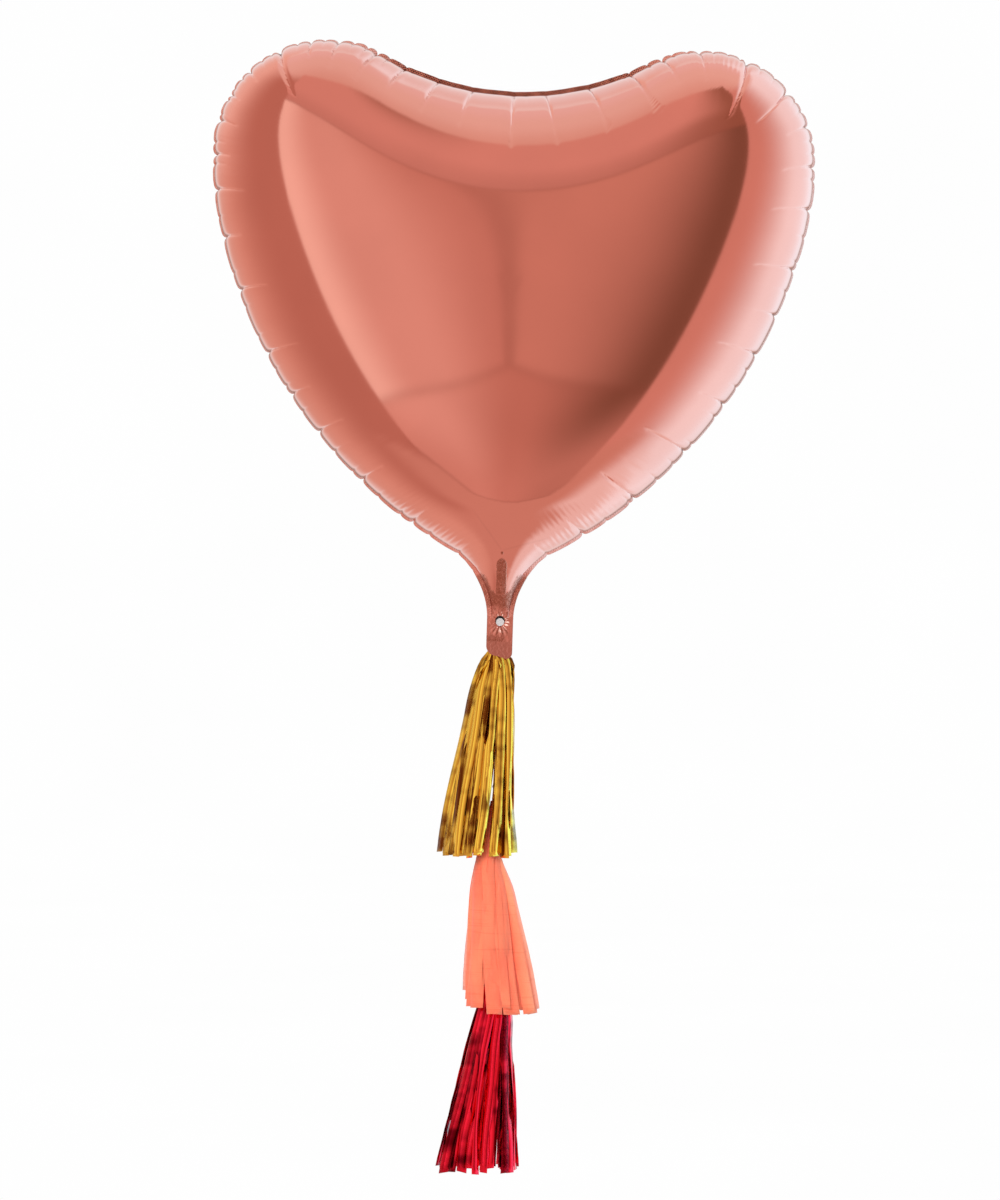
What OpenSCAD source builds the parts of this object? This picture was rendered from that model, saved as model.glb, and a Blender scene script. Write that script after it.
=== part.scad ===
// Heart-shaped foil balloon with a string of three fringe tassels.
// Two heart-cut foil panels are welded round their rim and blown up through a
// self-sealing film valve in the tail. A thread taped to the back of the tail
// carries a gold foil, a coral tissue and a red foil tassel, one below the other.
// Frame: millimetres, +Z up, the balloon's front faces -Y, origin at the centre
// of the filling hole in the tail.

/* [Balloon] */
// Width across the two lobes, over the weld rim
heart_w = 740; // [500:10:1000]
// Greatest thickness of the inflated balloon
heart_t = 300; // [180:5:380]
// Width of the flat weld rim
weld_w = 6; // [3:0.5:9]
// Thickness of one foil ply
ply = 0.6; // [0.5:0.1:1.2]
// Lean of the floating balloon, its left lobe higher
lean = 1.75; // [-4:0.25:4]

/* [Tail] */
// Width of the tail tab
tail_w = 32; // [26:1:44]
// Length of the tail below the centre of the filling hole
tail_below = 45; // [36:1:60]
// Length of straight tail above the centre of the filling hole
tail_above = 3; // [2:1:30]
// Corner radius of the tail's cut end
tail_end_r = 12; // [4:0.5:12]
// Diameter of the filling hole
hole_d = 10; // [6:0.5:14]

/* [Valve] */
// Width of the valve films
valve_w = 18; // [15:1:18]
// Length of the valve films above the centre of the filling hole
valve_l = 86; // [60:1:140]
// Thickness of one valve film
film = 0.2; // [0.1:0.05:0.25]

/* [Tassels] */
// Length of a tassel, from the ring it hangs in to its cut ends
tassel_l = 280; // [230:2:340]
// Distance from the ring of one tassel to the ring of the next
pitch = 192; // [160:2:230]
// Thickness of a fringe, several strips deep
fringe_wall = 4; // [3:0.5:6]
// Length of the bound neck of a tassel
neck_l = 10; // [8:1:12]
// Radius of the twisted neck
neck_r = 2.6; // [2:0.1:3.2]
// Thickness of the binding tape round a neck
band_t = 0.4; // [0.3:0.1:0.8]

/* [Threads and tape] */
// Radius of the hanging thread
thread_r = 0.6; // [0.4:0.05:0.8]
// Inside radius of the anchor loop behind the tail
loop_r = 5; // [4:0.5:6]
// Inside radius of a link, and of a tassel's eye
link_r = 2.2; // [2.2:0.1:3]
// Radius of the twisted foil or tissue round a tassel's eye
eye_wire_r = 1; // [0.8:0.1:1]
// Width of a tape patch
tape_w = 7; // [5:0.5:7]
// Height of a tape patch
tape_h = 9; // [6:0.5:10]

/* [Hidden] */

foil_pink = [0.80, 0.42, 0.36];
film_clear = [0.85, 0.85, 0.82];
tape_clear = [0.88, 0.87, 0.82];
thread_white = [0.93, 0.92, 0.90];
gold = [0.80, 0.58, 0.12];
coral = [0.98, 0.45, 0.36];
red = [0.80, 0.04, 0.12];

// ---- Outline of the heart: tangent arcs from the cleft down to the tail ----
// Each arc is [radius as a share of the width, turn in degrees, +1 hollow or -1 round].
heart_arcs = [[0.459, 28.7, 1], [0.189, 116.5, -1], [0.49, 15.2, -1], [0.817, 48.1, -1]];
arc_step = 6;           // degrees of turn between points
neck_steps = 9;

function sum(list, i = 0) = i == len(list) ? 0 : list[i] + sum(list, i + 1);
function last(list) = list[len(list) - 1];
// The point reached from p by turning from heading h along an arc of radius r on side s.
function along(p, h, r, s, turn) =
    p + s * r * [sin(h + s * turn) - sin(h), cos(h) - cos(h + s * turn)];
// Points along the chain of arcs, moved inwards by inset, not counting its start.
function arc_points(p, h, inset, i = 0) =
    i == len(heart_arcs) ? [] :
    let (a = heart_arcs[i], r = a[0] * heart_w + a[2] * inset, n = ceil(a[1] / arc_step))
    concat(
        [for (k = [1 : n]) along(p, h, r, a[2], a[1] * k / n)],
        arc_points(along(p, h, r, a[2], a[1]), h + a[2] * a[1], inset, i + 1)
    );
turned = sum([for (a = heart_arcs) a[2] * a[1]]);
// The last arc, round the neck, is hollow and ends straight down at the tail's edge.
neck_turn = -90 - turned;
flank = last(arc_points([0, 0], 0, 0));
neck_arc_r = (abs(flank[0]) - tail_w / 2) / (1 - cos(neck_turn));
neck_end_z = along(flank, turned, neck_arc_r, 1, neck_turn)[1];

// Right half of the outline, from the cleft to a little way down the straight tail.
function half_outline(inset) =
    let (arcs = concat([[0, -inset]], arc_points([0, -inset], 0, inset)))
    [for (p = concat(arcs, [
        for (k = [1 : neck_steps])
        along(last(arcs), turned, neck_arc_r + inset, 1, neck_turn * k / neck_steps)
        - [0, k == neck_steps ? weld_w - inset : 0]
    ])) p - [0, neck_end_z - tail_above]];
// The whole outline, clockwise from the cleft.
function outline(inset) =
    let (half = half_outline(inset))
    concat(half, [for (k = [len(half) - 1 : -1 : 1]) [-half[k][0], half[k][1]]]);

rim = outline(0);
weld = outline(weld_w);
sides = len(rim);

// ---- Height of the inflated foil above the plane of the rim ----
// The room at a point is 2 / sum((1/a + 1/b) tan(angle/2)) over the edges of the weld
// line, where a and b are the distances to an edge's ends and angle is how wide the edge
// looks from the point. Close to the weld it is the distance to it.
function edge_view(a, b) =
    (1 / norm(a) + 1 / norm(b)) * (a[1] * b[0] - a[0] * b[1]) / (norm(a) * norm(b) + a * b);
function room(p) = 2 / sum([for (i = [0 : sides - 1]) edge_view(weld[i] - p, weld[(i + 1) % sides] - p)]);
centre = [0, rim[0][1] * 0.62];
rings = 9;              // rings of points between the weld and the middle
neck_fill = 150;        // height over which the neck fills out
function ring_share(k) = max(cos(90 * k / rings), 0.03);
ring_points = [for (k = [0 : rings]) [for (w = weld) centre + ring_share(k) * (w - centre)]];
fullness = [
    for (k = [0 : rings]) [
        for (p = k < rings ? ring_points[k] : [for (w = weld) centre])
        k == 0 ? 0 : sqrt(room(p)) * sin(90 * min(1, max(0, p[1] - tail_above) / neck_fill))
    ]
];
fullest = max([for (ring = fullness) max(ring)]);

// ---- Foil panels ----
// One ring of points of a panel's skin, on its inside or its outside.
function skin_ring(k, inside) = [
    for (i = [0 : sides - 1])
    let (
        p = ring_points[k][i],
        out = weld[i] - centre,
        q = inside ? p - out * ring_share(k) * ply / norm(out) : p,
        h = (heart_t / 2 - ply) * fullness[k][i] / fullest
    )
    [q[0], inside ? h : h + ply, q[1]]
];
function flat_ring(points, y) = [for (p = points) [p[0], y, p[1]]];
// Triangles between two rings of n points that start at a and at b.
function band_faces(a, b, n) = [
    for (i = [0 : n - 1]) let (j = (i + 1) % n) each [[a + i, b + j, b + i], [a + i, a + j, b + j]]
];
// A closed solid through a list of rings of equal length, with flat ends.
module loft(layers) {
    n = len(layers[0]);
    polyhedron(
        points = [for (layer = layers) each layer],
        faces = concat(
            [for (k = [0 : len(layers) - 2]) each band_faces(k * n, (k + 1) * n, n)],
            [[for (i = [n - 1 : -1 : 0]) i], [for (i = [0 : n - 1]) (len(layers) - 1) * n + i]]
        )
    );
}
module panel_skin() loft(concat(
    [for (k = [rings : -1 : 0]) skin_ring(k, true)],
    [flat_ring(rim, 0), flat_ring(rim, ply)],
    [for (k = [0 : rings]) skin_ring(k, false)]
));
// A flat shape in X and Z, made solid from y0 to y1.
module upright(y0, y1) translate([0, y1, 0]) rotate([90, 0, 0]) linear_extrude(y1 - y0) children();
module tail_shape() hull() {
    translate([-tail_w / 2, 0]) square([tail_w, tail_above + 1]);
    for (x = [-1, 1]) translate([x * (tail_w / 2 - tail_end_r), tail_end_r - tail_below])
        circle(tail_end_r, $fn = 32);
}
module leaning() rotate([0, lean, 0]) children();

// The plies part by one film each where the valve lies between them.
valve_below = hole_d;   // how far the films reach below the hole's centre
pocket_play = 0.3;
pocket_top = 50;        // above this the panels stand clear of the films
module valve_pocket() upright(-film, film) translate([-valve_w / 2 - pocket_play, -valve_below - pocket_play])
    square([valve_w + 2 * pocket_play, valve_below + pocket_top]);
module filling_hole() rotate([90, 0, 0]) cylinder(d = hole_d, h = 4 * ply, center = true, $fn = 48);

module panel() {
    panel_skin();
    upright(0, ply) tail_shape();
}
module front_panel() color(foil_pink) leaning() difference() {
    mirror([0, 1, 0]) panel();
    valve_pocket();
    filling_hole();
}
module rear_panel() color(foil_pink) leaning() difference() {
    panel();
    valve_pocket();
}

// ---- Valve: two films with the filling passage between them ----
module valve_film() upright(0, film) {
    translate([-valve_w / 2, -valve_below]) square([valve_w, valve_below + valve_l - valve_w / 2]);
    translate([0, valve_l - valve_w / 2]) circle(valve_w / 2, $fn = 48);
}
module valve_front_film() color(film_clear) leaning() difference() {
    mirror([0, 1, 0]) valve_film();
    filling_hole();
}
module valve_rear_film() color(film_clear) leaning() valve_film();

// ---- Anchor: a thread taped across the back of the tail, with a loop on it ----
hang_x = -6;            // the hanging line is a little left of the hole
hang_z = -8;            // middle of the anchor loop's lowest wire
touch = 0.02;           // play where a thread lies on foil or in tape
thread_y = ply + thread_r + touch;
hang_y = thread_y + loop_r + thread_r;
anchor_z = hang_z + loop_r + thread_r;
anchor_l = 28;          // length of thread across the tail
tape_t = 0.3;

// A ring of wire about the X axis, or about the Y axis when flat.
module ring(r, wire_r, flat = false) rotate(flat ? [90, 0, 0] : [0, 90, 0])
    rotate_extrude($fn = 32) translate([r + wire_r, 0]) circle(wire_r, $fn = 16);
// Places a piece on the hanging line, so far below the anchor loop's lowest wire.
module on_line(below) translate([hang_x, hang_y, hang_z - below]) children();
module across(r) translate([0, thread_y, anchor_z]) rotate([0, 90, 0])
    cylinder(r = r, h = anchor_l, center = true, $fn = 16);

module anchor_thread() color(thread_white) {
    across(thread_r);
    on_line(-loop_r - thread_r) ring(loop_r, thread_r);
}
// A patch over one end of the thread, with a channel along its inner face.
module tape(side) color(tape_clear) difference() {
    translate([side * (anchor_l - tape_w) / 2 - tape_w / 2, ply, anchor_z - tape_h / 2])
        cube([tape_w, 2 * thread_r + tape_t, tape_h]);
    across(thread_r + touch);
    translate([-anchor_l / 2 - 1, ply - 1, anchor_z - thread_r - touch])
        cube([anchor_l + 2, 1 + thread_r + touch, 2 * (thread_r + touch)]);
}

// ---- Tassels ----
// Levels along a tassel are distances below the lowest wire of the ring it hangs in.
link_gap = 0.1;         // play between two linked rings
link_drop = 2 * link_r - link_gap;
eye_middle = link_drop + link_r - thread_r - link_gap;
neck_top = eye_middle + link_r + eye_wire_r;
neck_end = neck_top + neck_l;
fringe_top_r = neck_r + band_t + 0.4;

// The level where a fringe comes clear of what hides its top: the tail or the fringe above.
gold_clear = tail_below + hang_z + 1;
nest = tassel_l - pitch;
knee = 36;              // from that level to where the fringe has spread
// Reach of each fringe to the left, right and each way in depth: where it comes clear, at the knee and at its cut ends.
gold_fringe_shape = [[19, 24, 4], [34, 26, 16], [77, 26, 46]];
coral_fringe_shape = [[28, 11, 26], [36, 28, 32], [51, 62, 46]];
red_fringe_shape = [[27, 26, 24], [38, 25, 32], [76, 34, 42]];

fringe_sides = 32;
// An oval ring of points at one level of a fringe, inside its wall when inner is 1.
function fringe_ring(level, reach, inner) =
    let (
        wall = inner * min(fringe_wall, 0.4 * reach[2]),
        middle = (reach[1] - reach[0]) / 2,
        rx = (reach[0] + reach[1]) / 2 - wall,
        ry = reach[2] - wall
    )
    [for (i = [0 : fringe_sides - 1]) let (a = 360 * i / fringe_sides) [middle + rx * cos(a), ry * sin(a), -level]];
module fringe_body(clear, shape, inner) loft([
    fringe_ring(neck_end - inner * touch, fringe_top_r * [1, 1, 1], inner),
    fringe_ring(clear, shape[0], inner),
    fringe_ring(clear + knee, shape[1], inner),
    fringe_ring(tassel_l + inner * touch, shape[2], inner)
]);
module fringe(clear, shape) difference() {
    fringe_body(clear, shape, 0);
    fringe_body(clear, shape, 1);
}
module link() translate([0, 0, thread_r + link_gap - link_r]) ring(link_r, thread_r, flat = true);
module head() {
    translate([0, 0, -eye_middle]) ring(link_r, eye_wire_r);
    translate([0, 0, -neck_end]) cylinder(r = neck_r, h = neck_l, $fn = 48);
}
module band() translate([0, 0, -neck_end]) difference() {
    cylinder(r = neck_r + band_t, h = neck_l, $fn = 48);
    translate([0, 0, -1]) cylinder(r = neck_r, h = neck_l + 2, $fn = 48);
}
// The thread to the next tassel: a knot under the neck, a straight run and an end loop.
knot_r = 1.6;
module next_thread() {
    translate([0, 0, -neck_end - 2]) cylinder(r = knot_r, h = 2, $fn = 32);
    translate([0, 0, 2 * (link_r + thread_r) - pitch])
        cylinder(r = thread_r, h = pitch - neck_end - 2 * (link_r + thread_r) - 1, $fn = 16);
    translate([0, 0, link_r + thread_r - pitch]) ring(link_r, thread_r);
}

module gold_link() color(thread_white) on_line(0) link();
module gold_head() color(gold) on_line(0) head();
module gold_band() color(gold) on_line(0) band();
module gold_fringe() color(gold) on_line(0) fringe(gold_clear, gold_fringe_shape);
module gold_thread() color(thread_white) on_line(0) next_thread();

module coral_link() color(thread_white) on_line(pitch) link();
module coral_head() color(coral) on_line(pitch) head();
module coral_band() color(coral) on_line(pitch) band();
module coral_fringe() color(coral) on_line(pitch) fringe(nest, coral_fringe_shape);
module coral_thread() color(thread_white) on_line(pitch) next_thread();

module red_link() color(thread_white) on_line(2 * pitch) link();
module red_head() color(red) on_line(2 * pitch) head();
module red_band() color(red) on_line(2 * pitch) band();
module red_fringe() color(red) on_line(2 * pitch) fringe(nest, red_fringe_shape);

front_panel();
rear_panel();
valve_front_film();
valve_rear_film();
anchor_thread();
tape(-1);  // left_tape
tape(1);  // right_tape
gold_link();
gold_head();
gold_band();
gold_fringe();
gold_thread();
coral_link();
coral_head();
coral_band();
coral_fringe();
coral_thread();
red_link();
red_head();
red_band();
red_fringe();
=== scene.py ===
import math

import bmesh
import bpy
import numpy as np
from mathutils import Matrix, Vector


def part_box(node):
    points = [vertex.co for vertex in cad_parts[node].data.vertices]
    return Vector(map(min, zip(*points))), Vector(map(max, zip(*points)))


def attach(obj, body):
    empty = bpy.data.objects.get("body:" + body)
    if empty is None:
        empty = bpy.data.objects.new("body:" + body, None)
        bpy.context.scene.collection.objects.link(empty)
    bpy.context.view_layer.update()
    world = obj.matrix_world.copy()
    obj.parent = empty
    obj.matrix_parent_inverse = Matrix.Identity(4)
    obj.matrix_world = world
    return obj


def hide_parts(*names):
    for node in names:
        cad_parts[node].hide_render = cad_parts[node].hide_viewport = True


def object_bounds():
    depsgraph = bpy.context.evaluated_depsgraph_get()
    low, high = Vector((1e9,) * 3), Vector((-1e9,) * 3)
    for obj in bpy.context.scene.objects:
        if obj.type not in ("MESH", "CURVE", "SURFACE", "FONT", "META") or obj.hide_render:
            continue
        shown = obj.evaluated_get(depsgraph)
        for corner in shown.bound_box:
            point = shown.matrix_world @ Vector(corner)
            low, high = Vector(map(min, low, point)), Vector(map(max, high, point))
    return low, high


# The heart-shaped foil balloon and its string of three fringe tassels, built round the
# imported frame. Metres, +Z up, the front of the balloon faces -Y, origin at the filling hole.
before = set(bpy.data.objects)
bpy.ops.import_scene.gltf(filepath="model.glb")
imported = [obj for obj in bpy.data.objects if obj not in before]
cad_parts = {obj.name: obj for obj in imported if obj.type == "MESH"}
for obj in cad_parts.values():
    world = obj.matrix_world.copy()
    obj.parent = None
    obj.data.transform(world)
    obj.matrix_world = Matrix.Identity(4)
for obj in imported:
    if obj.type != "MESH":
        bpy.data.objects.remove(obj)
cad_box = [list(corner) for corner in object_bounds()]


# ---- Camera ----
# Level with a point just above the filling hole, straight in front, with a long lens.
view_height = 1.4677
view_distance = 5.0
view_centre_z = 0.0269
camera_data = bpy.data.cameras.new("camera")
camera_data.sensor_fit = "VERTICAL"
camera_data.sensor_height = 36
camera_data.lens = camera_data.sensor_height * view_distance / view_height
camera = bpy.data.objects.new("camera", camera_data)
camera.location = (0, -view_distance, view_centre_z)
camera.rotation_euler = (math.pi / 2, 0, 0)
bpy.context.scene.collection.objects.link(camera)
bpy.context.scene.camera = camera
bpy.context.scene.view_settings.view_transform = "Standard"


# ---- Rose foil material ----
# Metallised film with a rose lacquer. It is mirror-bright, with faint drawn lines square to
# the seam, a knurled brown heat seal along the rim, and crinkled seals round the valve.
def new_material(name):
    """An empty node material with a Principled shader; returns material, tree and shader."""
    material = bpy.data.materials.new(name)
    material.use_nodes = True
    tree = material.node_tree
    return material, tree, tree.nodes["Principled BSDF"]


def plug(made, inputs):
    """Links or sets a node's inputs, by index or name."""
    for key, value in dict(inputs).items():
        if isinstance(value, bpy.types.NodeSocket):
            value.id_data.links.new(value, made.inputs[key])
        else:
            made.inputs[key].default_value = value


def node(tree, kind, inputs=(), **settings):
    """Adds a node, sets its properties, and links or sets its inputs."""
    made = tree.nodes.new(kind)
    for key, value in settings.items():
        setattr(made, key, value)
    plug(made, inputs)
    return made


def calc(tree, operation, *values, clamp=False):
    """The output of a Math node."""
    return node(tree, "ShaderNodeMath", dict(enumerate(values)), operation=operation,
                use_clamp=clamp).outputs[0]


def tree_of(*values):
    """The node tree that the first socket among the values belongs to."""
    return next(value.id_data for value in values if isinstance(value, bpy.types.NodeSocket))


def maths(operation):
    """A short form of one Math operation, for values of which at least one is a socket."""
    return lambda *values, clamp=False: calc(tree_of(*values), operation, *values, clamp=clamp)


times, plus, minus, scaled, largest, smallest = map(maths, (
    "MULTIPLY", "ADD", "SUBTRACT", "MULTIPLY_ADD", "MAXIMUM", "MINIMUM"))


def squared(value):
    """A value times itself."""
    return calc(value.id_data, "POWER", value, 2)


def flipped(value):
    """1 less the value."""
    return minus(1, value)


def step(value, low, high):
    """0 below low and 1 above high, with a smooth ramp between."""
    return node(value.id_data, "ShaderNodeMapRange", {
        "Value": value, "From Min": low, "From Max": high}, interpolation_type="SMOOTHSTEP").outputs[0]


def within(value, low, high, soft):
    """1 where value lies between low and high, with soft borders."""
    tree = value.id_data
    rise, fall = (step(value, calc(tree, "SUBTRACT", edge, soft), calc(tree, "ADD", edge, soft))
                  for edge in (low, high))
    return minus(rise, fall)


def mix(share, low, high):
    """A colour between low and high."""
    ends = {key: end if isinstance(end, bpy.types.NodeSocket) else (*end, 1)
            for key, end in ((6, low), (7, high))}
    made = node(tree_of(share, low, high), "ShaderNodeMix", {0: share, **ends}, data_type="RGBA")
    return made.outputs[2]


def shade(colour, share):
    """A colour made darker by a factor."""
    return tuple(channel * share for channel in colour)


def object_place(tree):
    """The place on the object."""
    return node(tree, "ShaderNodeTexCoord").outputs["Object"]


def point_value(tree, name):
    """A value that the mesh holds for each of its points."""
    return node(tree, "ShaderNodeAttribute", attribute_name=name).outputs["Fac"]


def stretched(place, scale):
    """A place with its three axes scaled."""
    return node(place.id_data, "ShaderNodeMapping", {"Vector": place, "Scale": scale}).outputs[0]


def flat_place(right, up):
    """A place on a plane, from two values."""
    return node(tree_of(right, up), "ShaderNodeCombineXYZ", {0: right, 1: up}).outputs[0]


def noise(place, scale, detail, roughness=0.5):
    """Cloudy noise between 0 and 1."""
    return node(place.id_data, "ShaderNodeTexNoise", {
        "Vector": place, "Scale": scale, "Detail": detail, "Roughness": roughness}).outputs[0]


def cells(place, scale):
    """Distance to the border of irregular cells, which makes crinkles."""
    return node(place.id_data, "ShaderNodeTexVoronoi", {"Vector": place, "Scale": scale},
                feature="DISTANCE_TO_EDGE").outputs[0]


def relief(height, strength, distance):
    """The normal of a surface with this height."""
    return node(height.id_data, "ShaderNodeBump", {
        "Height": height, "Strength": strength, "Distance": distance}).outputs[0]


lean = math.radians(1.75)
rose = (0.80, 0.30, 0.24)
rose_seal = (0.33, 0.095, 0.058)
rose_tail = (0.62, 0.24, 0.19)
groove_shade = (0.05, 0.016, 0.013)
bare_foil = (1.0, 0.80, 0.72)
hole_shade = (0.012, 0.009, 0.009)
strip_half = 0.0062                # the valve's printed strip, from its edge to the middle
strip_top = 0.0775
dot_z = 0.084                      # a small weld point above the strip
crease_start_z = 0.087
knurl_along = 0.0034
knurl_across = 0.0036


def heat_seals(x, z, inward, blotch, streak):
    """How far the film is browned by sealing: across the neck below a line that rises to the
    sides, along both arms of the rim above it, beside the hole, and on the valve's strip."""
    across = calc(x.id_data, "ABSOLUTE", x)
    ragged = scaled(blotch, 0.016, -0.008)
    rough_z = plus(z, ragged)
    rough_x = scaled(ragged, 0.25, across)
    neck_top = smallest(scaled(largest(minus(across, 0.006), 0), 0.9, 0.0345), 0.047)
    neck = times(step(rough_z, 0.011, 0.022), step(minus(neck_top, rough_z), -0.001, 0.0015))
    arms = times(within(rough_z, 0.030, 0.057, 0.003),
                 flipped(step(plus(inward, times(ragged, 0.4)), 0.003, 0.007)))
    under_hole = times(within(rough_z, -0.024, -0.017, 0.002), flipped(step(x, 0.0, 0.009)))
    round_top = scaled(squared(across), -140, strip_top)
    strip = times(flipped(step(rough_x, strip_half - 0.0006, strip_half + 0.0006)),
                  times(step(z, 0.030, 0.036), flipped(step(minus(z, round_top), -0.001, 0.001))))
    sealed = largest(largest(largest(neck, arms), times(under_hole, 0.8)), strip)
    patchy = largest(step(blotch, 0.36, 0.60), step(streak, 0.42, 0.62))
    dot_far = plus(squared(x), squared(minus(z, dot_z)))
    dot = flipped(step(dot_far, 0.0000010, 0.0000045))
    return largest(times(sealed, scaled(patchy, 0.5, 0.5), clamp=True), dot, clamp=True)


def hole_shadow_and_scuffs(x, y, z):
    """The painted shadow crescent inside the filling hole's lip, where the gap between the plies lies
    in shade, and the bright scuffs round it.
    """
    tree = x.id_data
    is_front = step(y, 0.001, -0.0001)
    far = calc(tree, "SQRT", plus(squared(x), squared(z)))
    lip_far = calc(tree, "SQRT", plus(squared(x), squared(minus(z, 0.0017))))
    shadow_crescent = times(flipped(step(lip_far, 0.0056, 0.0063)), is_front)
    scratch = noise(flat_place(times(calc(tree, "ARCTAN2", x, z), 3.4), times(far, 90)), 1, 2)
    scuff = times(within(far, 0.0060, 0.0125, 0.0015), times(step(scratch, 0.54, 0.60), is_front))
    return shadow_crescent, times(scuff, step(x, -0.009, 0.004))


def valve_crease_shade(x, z, turn):
    """Where a faint crease runs up from the end of the valve, turned from upright; the colour is
    darkened there as painted shade.
    """
    above = minus(z, crease_start_z)
    aside = minus(times(x, math.cos(turn)), times(above, math.sin(turn)))
    ahead = plus(times(x, math.sin(turn)), times(above, math.cos(turn)))
    return times(within(aside, -0.0004, 0.0004, 0.0016),
                 times(step(ahead, 0.0, 0.003), step(ahead, 0.068, 0.040)))


def rose_foil_material():
    """The lacquered film: colour, gloss and relief from the distance to the seam, the length
    along it, and the place on the upright balloon."""
    material, tree, shader = new_material("rose_foil_film")
    along = point_value(tree, "seam_along")
    inward = point_value(tree, "seam_in")
    place = object_place(tree)
    upright = node(tree, "ShaderNodeMapping", {"Vector": place, "Rotation": (0, -lean, 0)})
    x, y, z = node(tree, "ShaderNodeSeparateXYZ", {0: upright.outputs[0]}).outputs
    blotch = noise(place, 240, 4, 0.65)
    streak = noise(stretched(place, (900, 900, 130)), 1, 3)
    haze = noise(place, 30, 5)

    # Masks: the welded rim and its groove, the seals, the painted shadow and the scuffs at the hole,
    # and the tail.
    rim = flipped(step(inward, -0.0006, 0.0004))
    groove = within(inward, -0.0002, 0.0009, 0.0004)
    sealed = heat_seals(x, z, inward, blotch, streak)
    shadow_crescent, scuff = hole_shadow_and_scuffs(x, y, z)
    tail = flipped(step(z, 0.010, 0.024))
    cut_end = flipped(step(plus(z, scaled(blotch, 0.016, -0.008)), -0.027, -0.021))
    reach = calc(tree, "ABSOLUTE", along)
    low = step(reach, 0.90, 1.02)
    knurl = times(calc(tree, "SINE", times(along, 2 * math.pi / knurl_along)),
                  calc(tree, "SINE", times(inward, 2 * math.pi / knurl_across)))

    # Colour: clean lacquer, a paler worn tail, brown seals, and shade in the groove of the seam.
    base = mix(step(noise(place, 9, 3), 0.3, 0.7), rose, shade(rose, 0.96))
    base = mix(tail, base, mix(step(streak, 0.40, 0.66), rose_tail, rose))
    base = mix(times(cut_end, 0.7), base, shade(rose_tail, 0.82))
    base = mix(times(sealed, 0.88), base, rose_seal)
    fleck = step(plus(knurl, times(blotch, 1.6)), 0.35, 1.3)
    cleft_tone = mix(fleck, (0.035, 0.012, 0.009), (0.66, 0.215, 0.15))
    lobe_tone = mix(fleck, (0.50, 0.17, 0.125), (0.78, 0.30, 0.235))
    rim_tone = mix(step(reach, 0.13, 0.20), cleft_tone, lobe_tone)
    base = mix(times(rim, scaled(low, -0.8, 1)), base, rim_tone)
    base = mix(times(groove, scaled(low, -0.8, 0.9)), base, groove_shade)
    base = mix(times(scuff, 0.8), base, bare_foil)
    # Painted shadow: a near-black crescent inside the hole's lip, where the plies shade it.
    base = mix(shadow_crescent, base, hole_shade)
    # Painted shade: the colour is darkened along two faint creases above the valve.
    for turn in (-0.66, 1.28):
        base = mix(times(valve_crease_shade(x, z, turn), 0.30), base, shade(rose, 0.55))

    # Finish: almost a mirror, duller where it was sealed and on the tail.
    dull = largest(rim, largest(sealed, times(tail, 0.45)), clamp=True)
    rough = scaled(dull, 0.24, scaled(haze, 0.05, 0.055))
    plain = largest(rim, times(largest(scuff, shadow_crescent), 3))

    # Relief: drawn lines near the seam, crinkles on the tail and seals, film grain, the knurl.
    drawn = noise(flat_place(times(along, 210), times(inward, 9)), 1, 2)
    drawn_height = times(drawn, times(flipped(step(inward, 0.02, 0.085)), 0.10))
    crinkle_height = times(smallest(cells(place, 170), 0.25),
                           largest(times(tail, 2.2), times(sealed, 3.0)))
    crinkle_height = plus(crinkle_height, times(streak, times(sealed, 1.6)))
    grain = plus(times(haze, 0.05), times(times(knurl, rim), 0.5))
    plug(shader, {
        "Base Color": base, "Roughness": rough, "Metallic": scaled(plain, -0.25, 1),
        "Specular IOR Level": 0.3,
        "Normal": relief(plus(plus(drawn_height, crinkle_height), grain), 0.5, 0.0006)})
    return material


rose_material = rose_foil_material()


# ---- Balloon foils ----
# Two heart-cut plies of metallised film, 0.3 mm as modelled, welded together along a rim
# 6 mm wide. Gas pulls the rim in, so it puckers into pleats that run square to the seam.
heart_w = 0.740
heart_t = 0.300
weld_w = 0.006
ply = 0.0006
tail_half = 0.016
tail_above = 0.003
tail_below = 0.045
hole_r = 0.005
neck_fill = 0.150
split_z = 0.0065                   # above this the foil is laid out from the heart's middle
seam_end = 1.11                    # where the seam meets the tail, along it from the cleft
lobe_from = 0.14                   # the stretch of seam round a lobe
lobe_to = 0.42
heart_arcs = [(0.459, 28.7, 1), (0.189, 116.5, -1), (0.49, 15.2, -1), (0.817, 48.1, -1)]


def arc_chain(inset, spacing):
    """Right half of the heart's outline, moved in by inset: tangent arcs from the cleft, each
    (share of the width, turn, hollow or round), then a hollow arc that ends on the tail's edge."""
    arcs = [(r * heart_w, math.radians(turn), side) for r, turn, side in heart_arcs]
    x = z = heading = 0.0
    for r, turn, side in arcs:
        x += side * r * (math.sin(heading + side * turn) - math.sin(heading))
        z += side * r * (math.cos(heading) - math.cos(heading + side * turn))
        heading += side * turn
    neck_turn = -math.pi / 2 - heading
    neck_r = (x - tail_half) / (1 - math.cos(neck_turn))
    neck_z = z + neck_r * (math.cos(heading) - math.cos(heading + neck_turn))
    arcs.append((neck_r, neck_turn, 1))
    points, x, z, heading = [np.array([[0.0, -inset]])], 0.0, -inset, 0.0
    for r, turn, side in arcs:
        r += side * inset
        count = max(2, math.ceil(r * turn / spacing))
        a = heading + side * turn * np.arange(1, count + 1) / count
        points.append(np.column_stack([x + side * r * (np.sin(a) - math.sin(heading)),
                                       z + side * r * (math.cos(heading) - np.cos(a))]))
        x, z, heading = points[-1][-1, 0], points[-1][-1, 1], a[-1]
    half = np.vstack(points)
    half[:, 1] -= neck_z - tail_above
    return half


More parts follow.
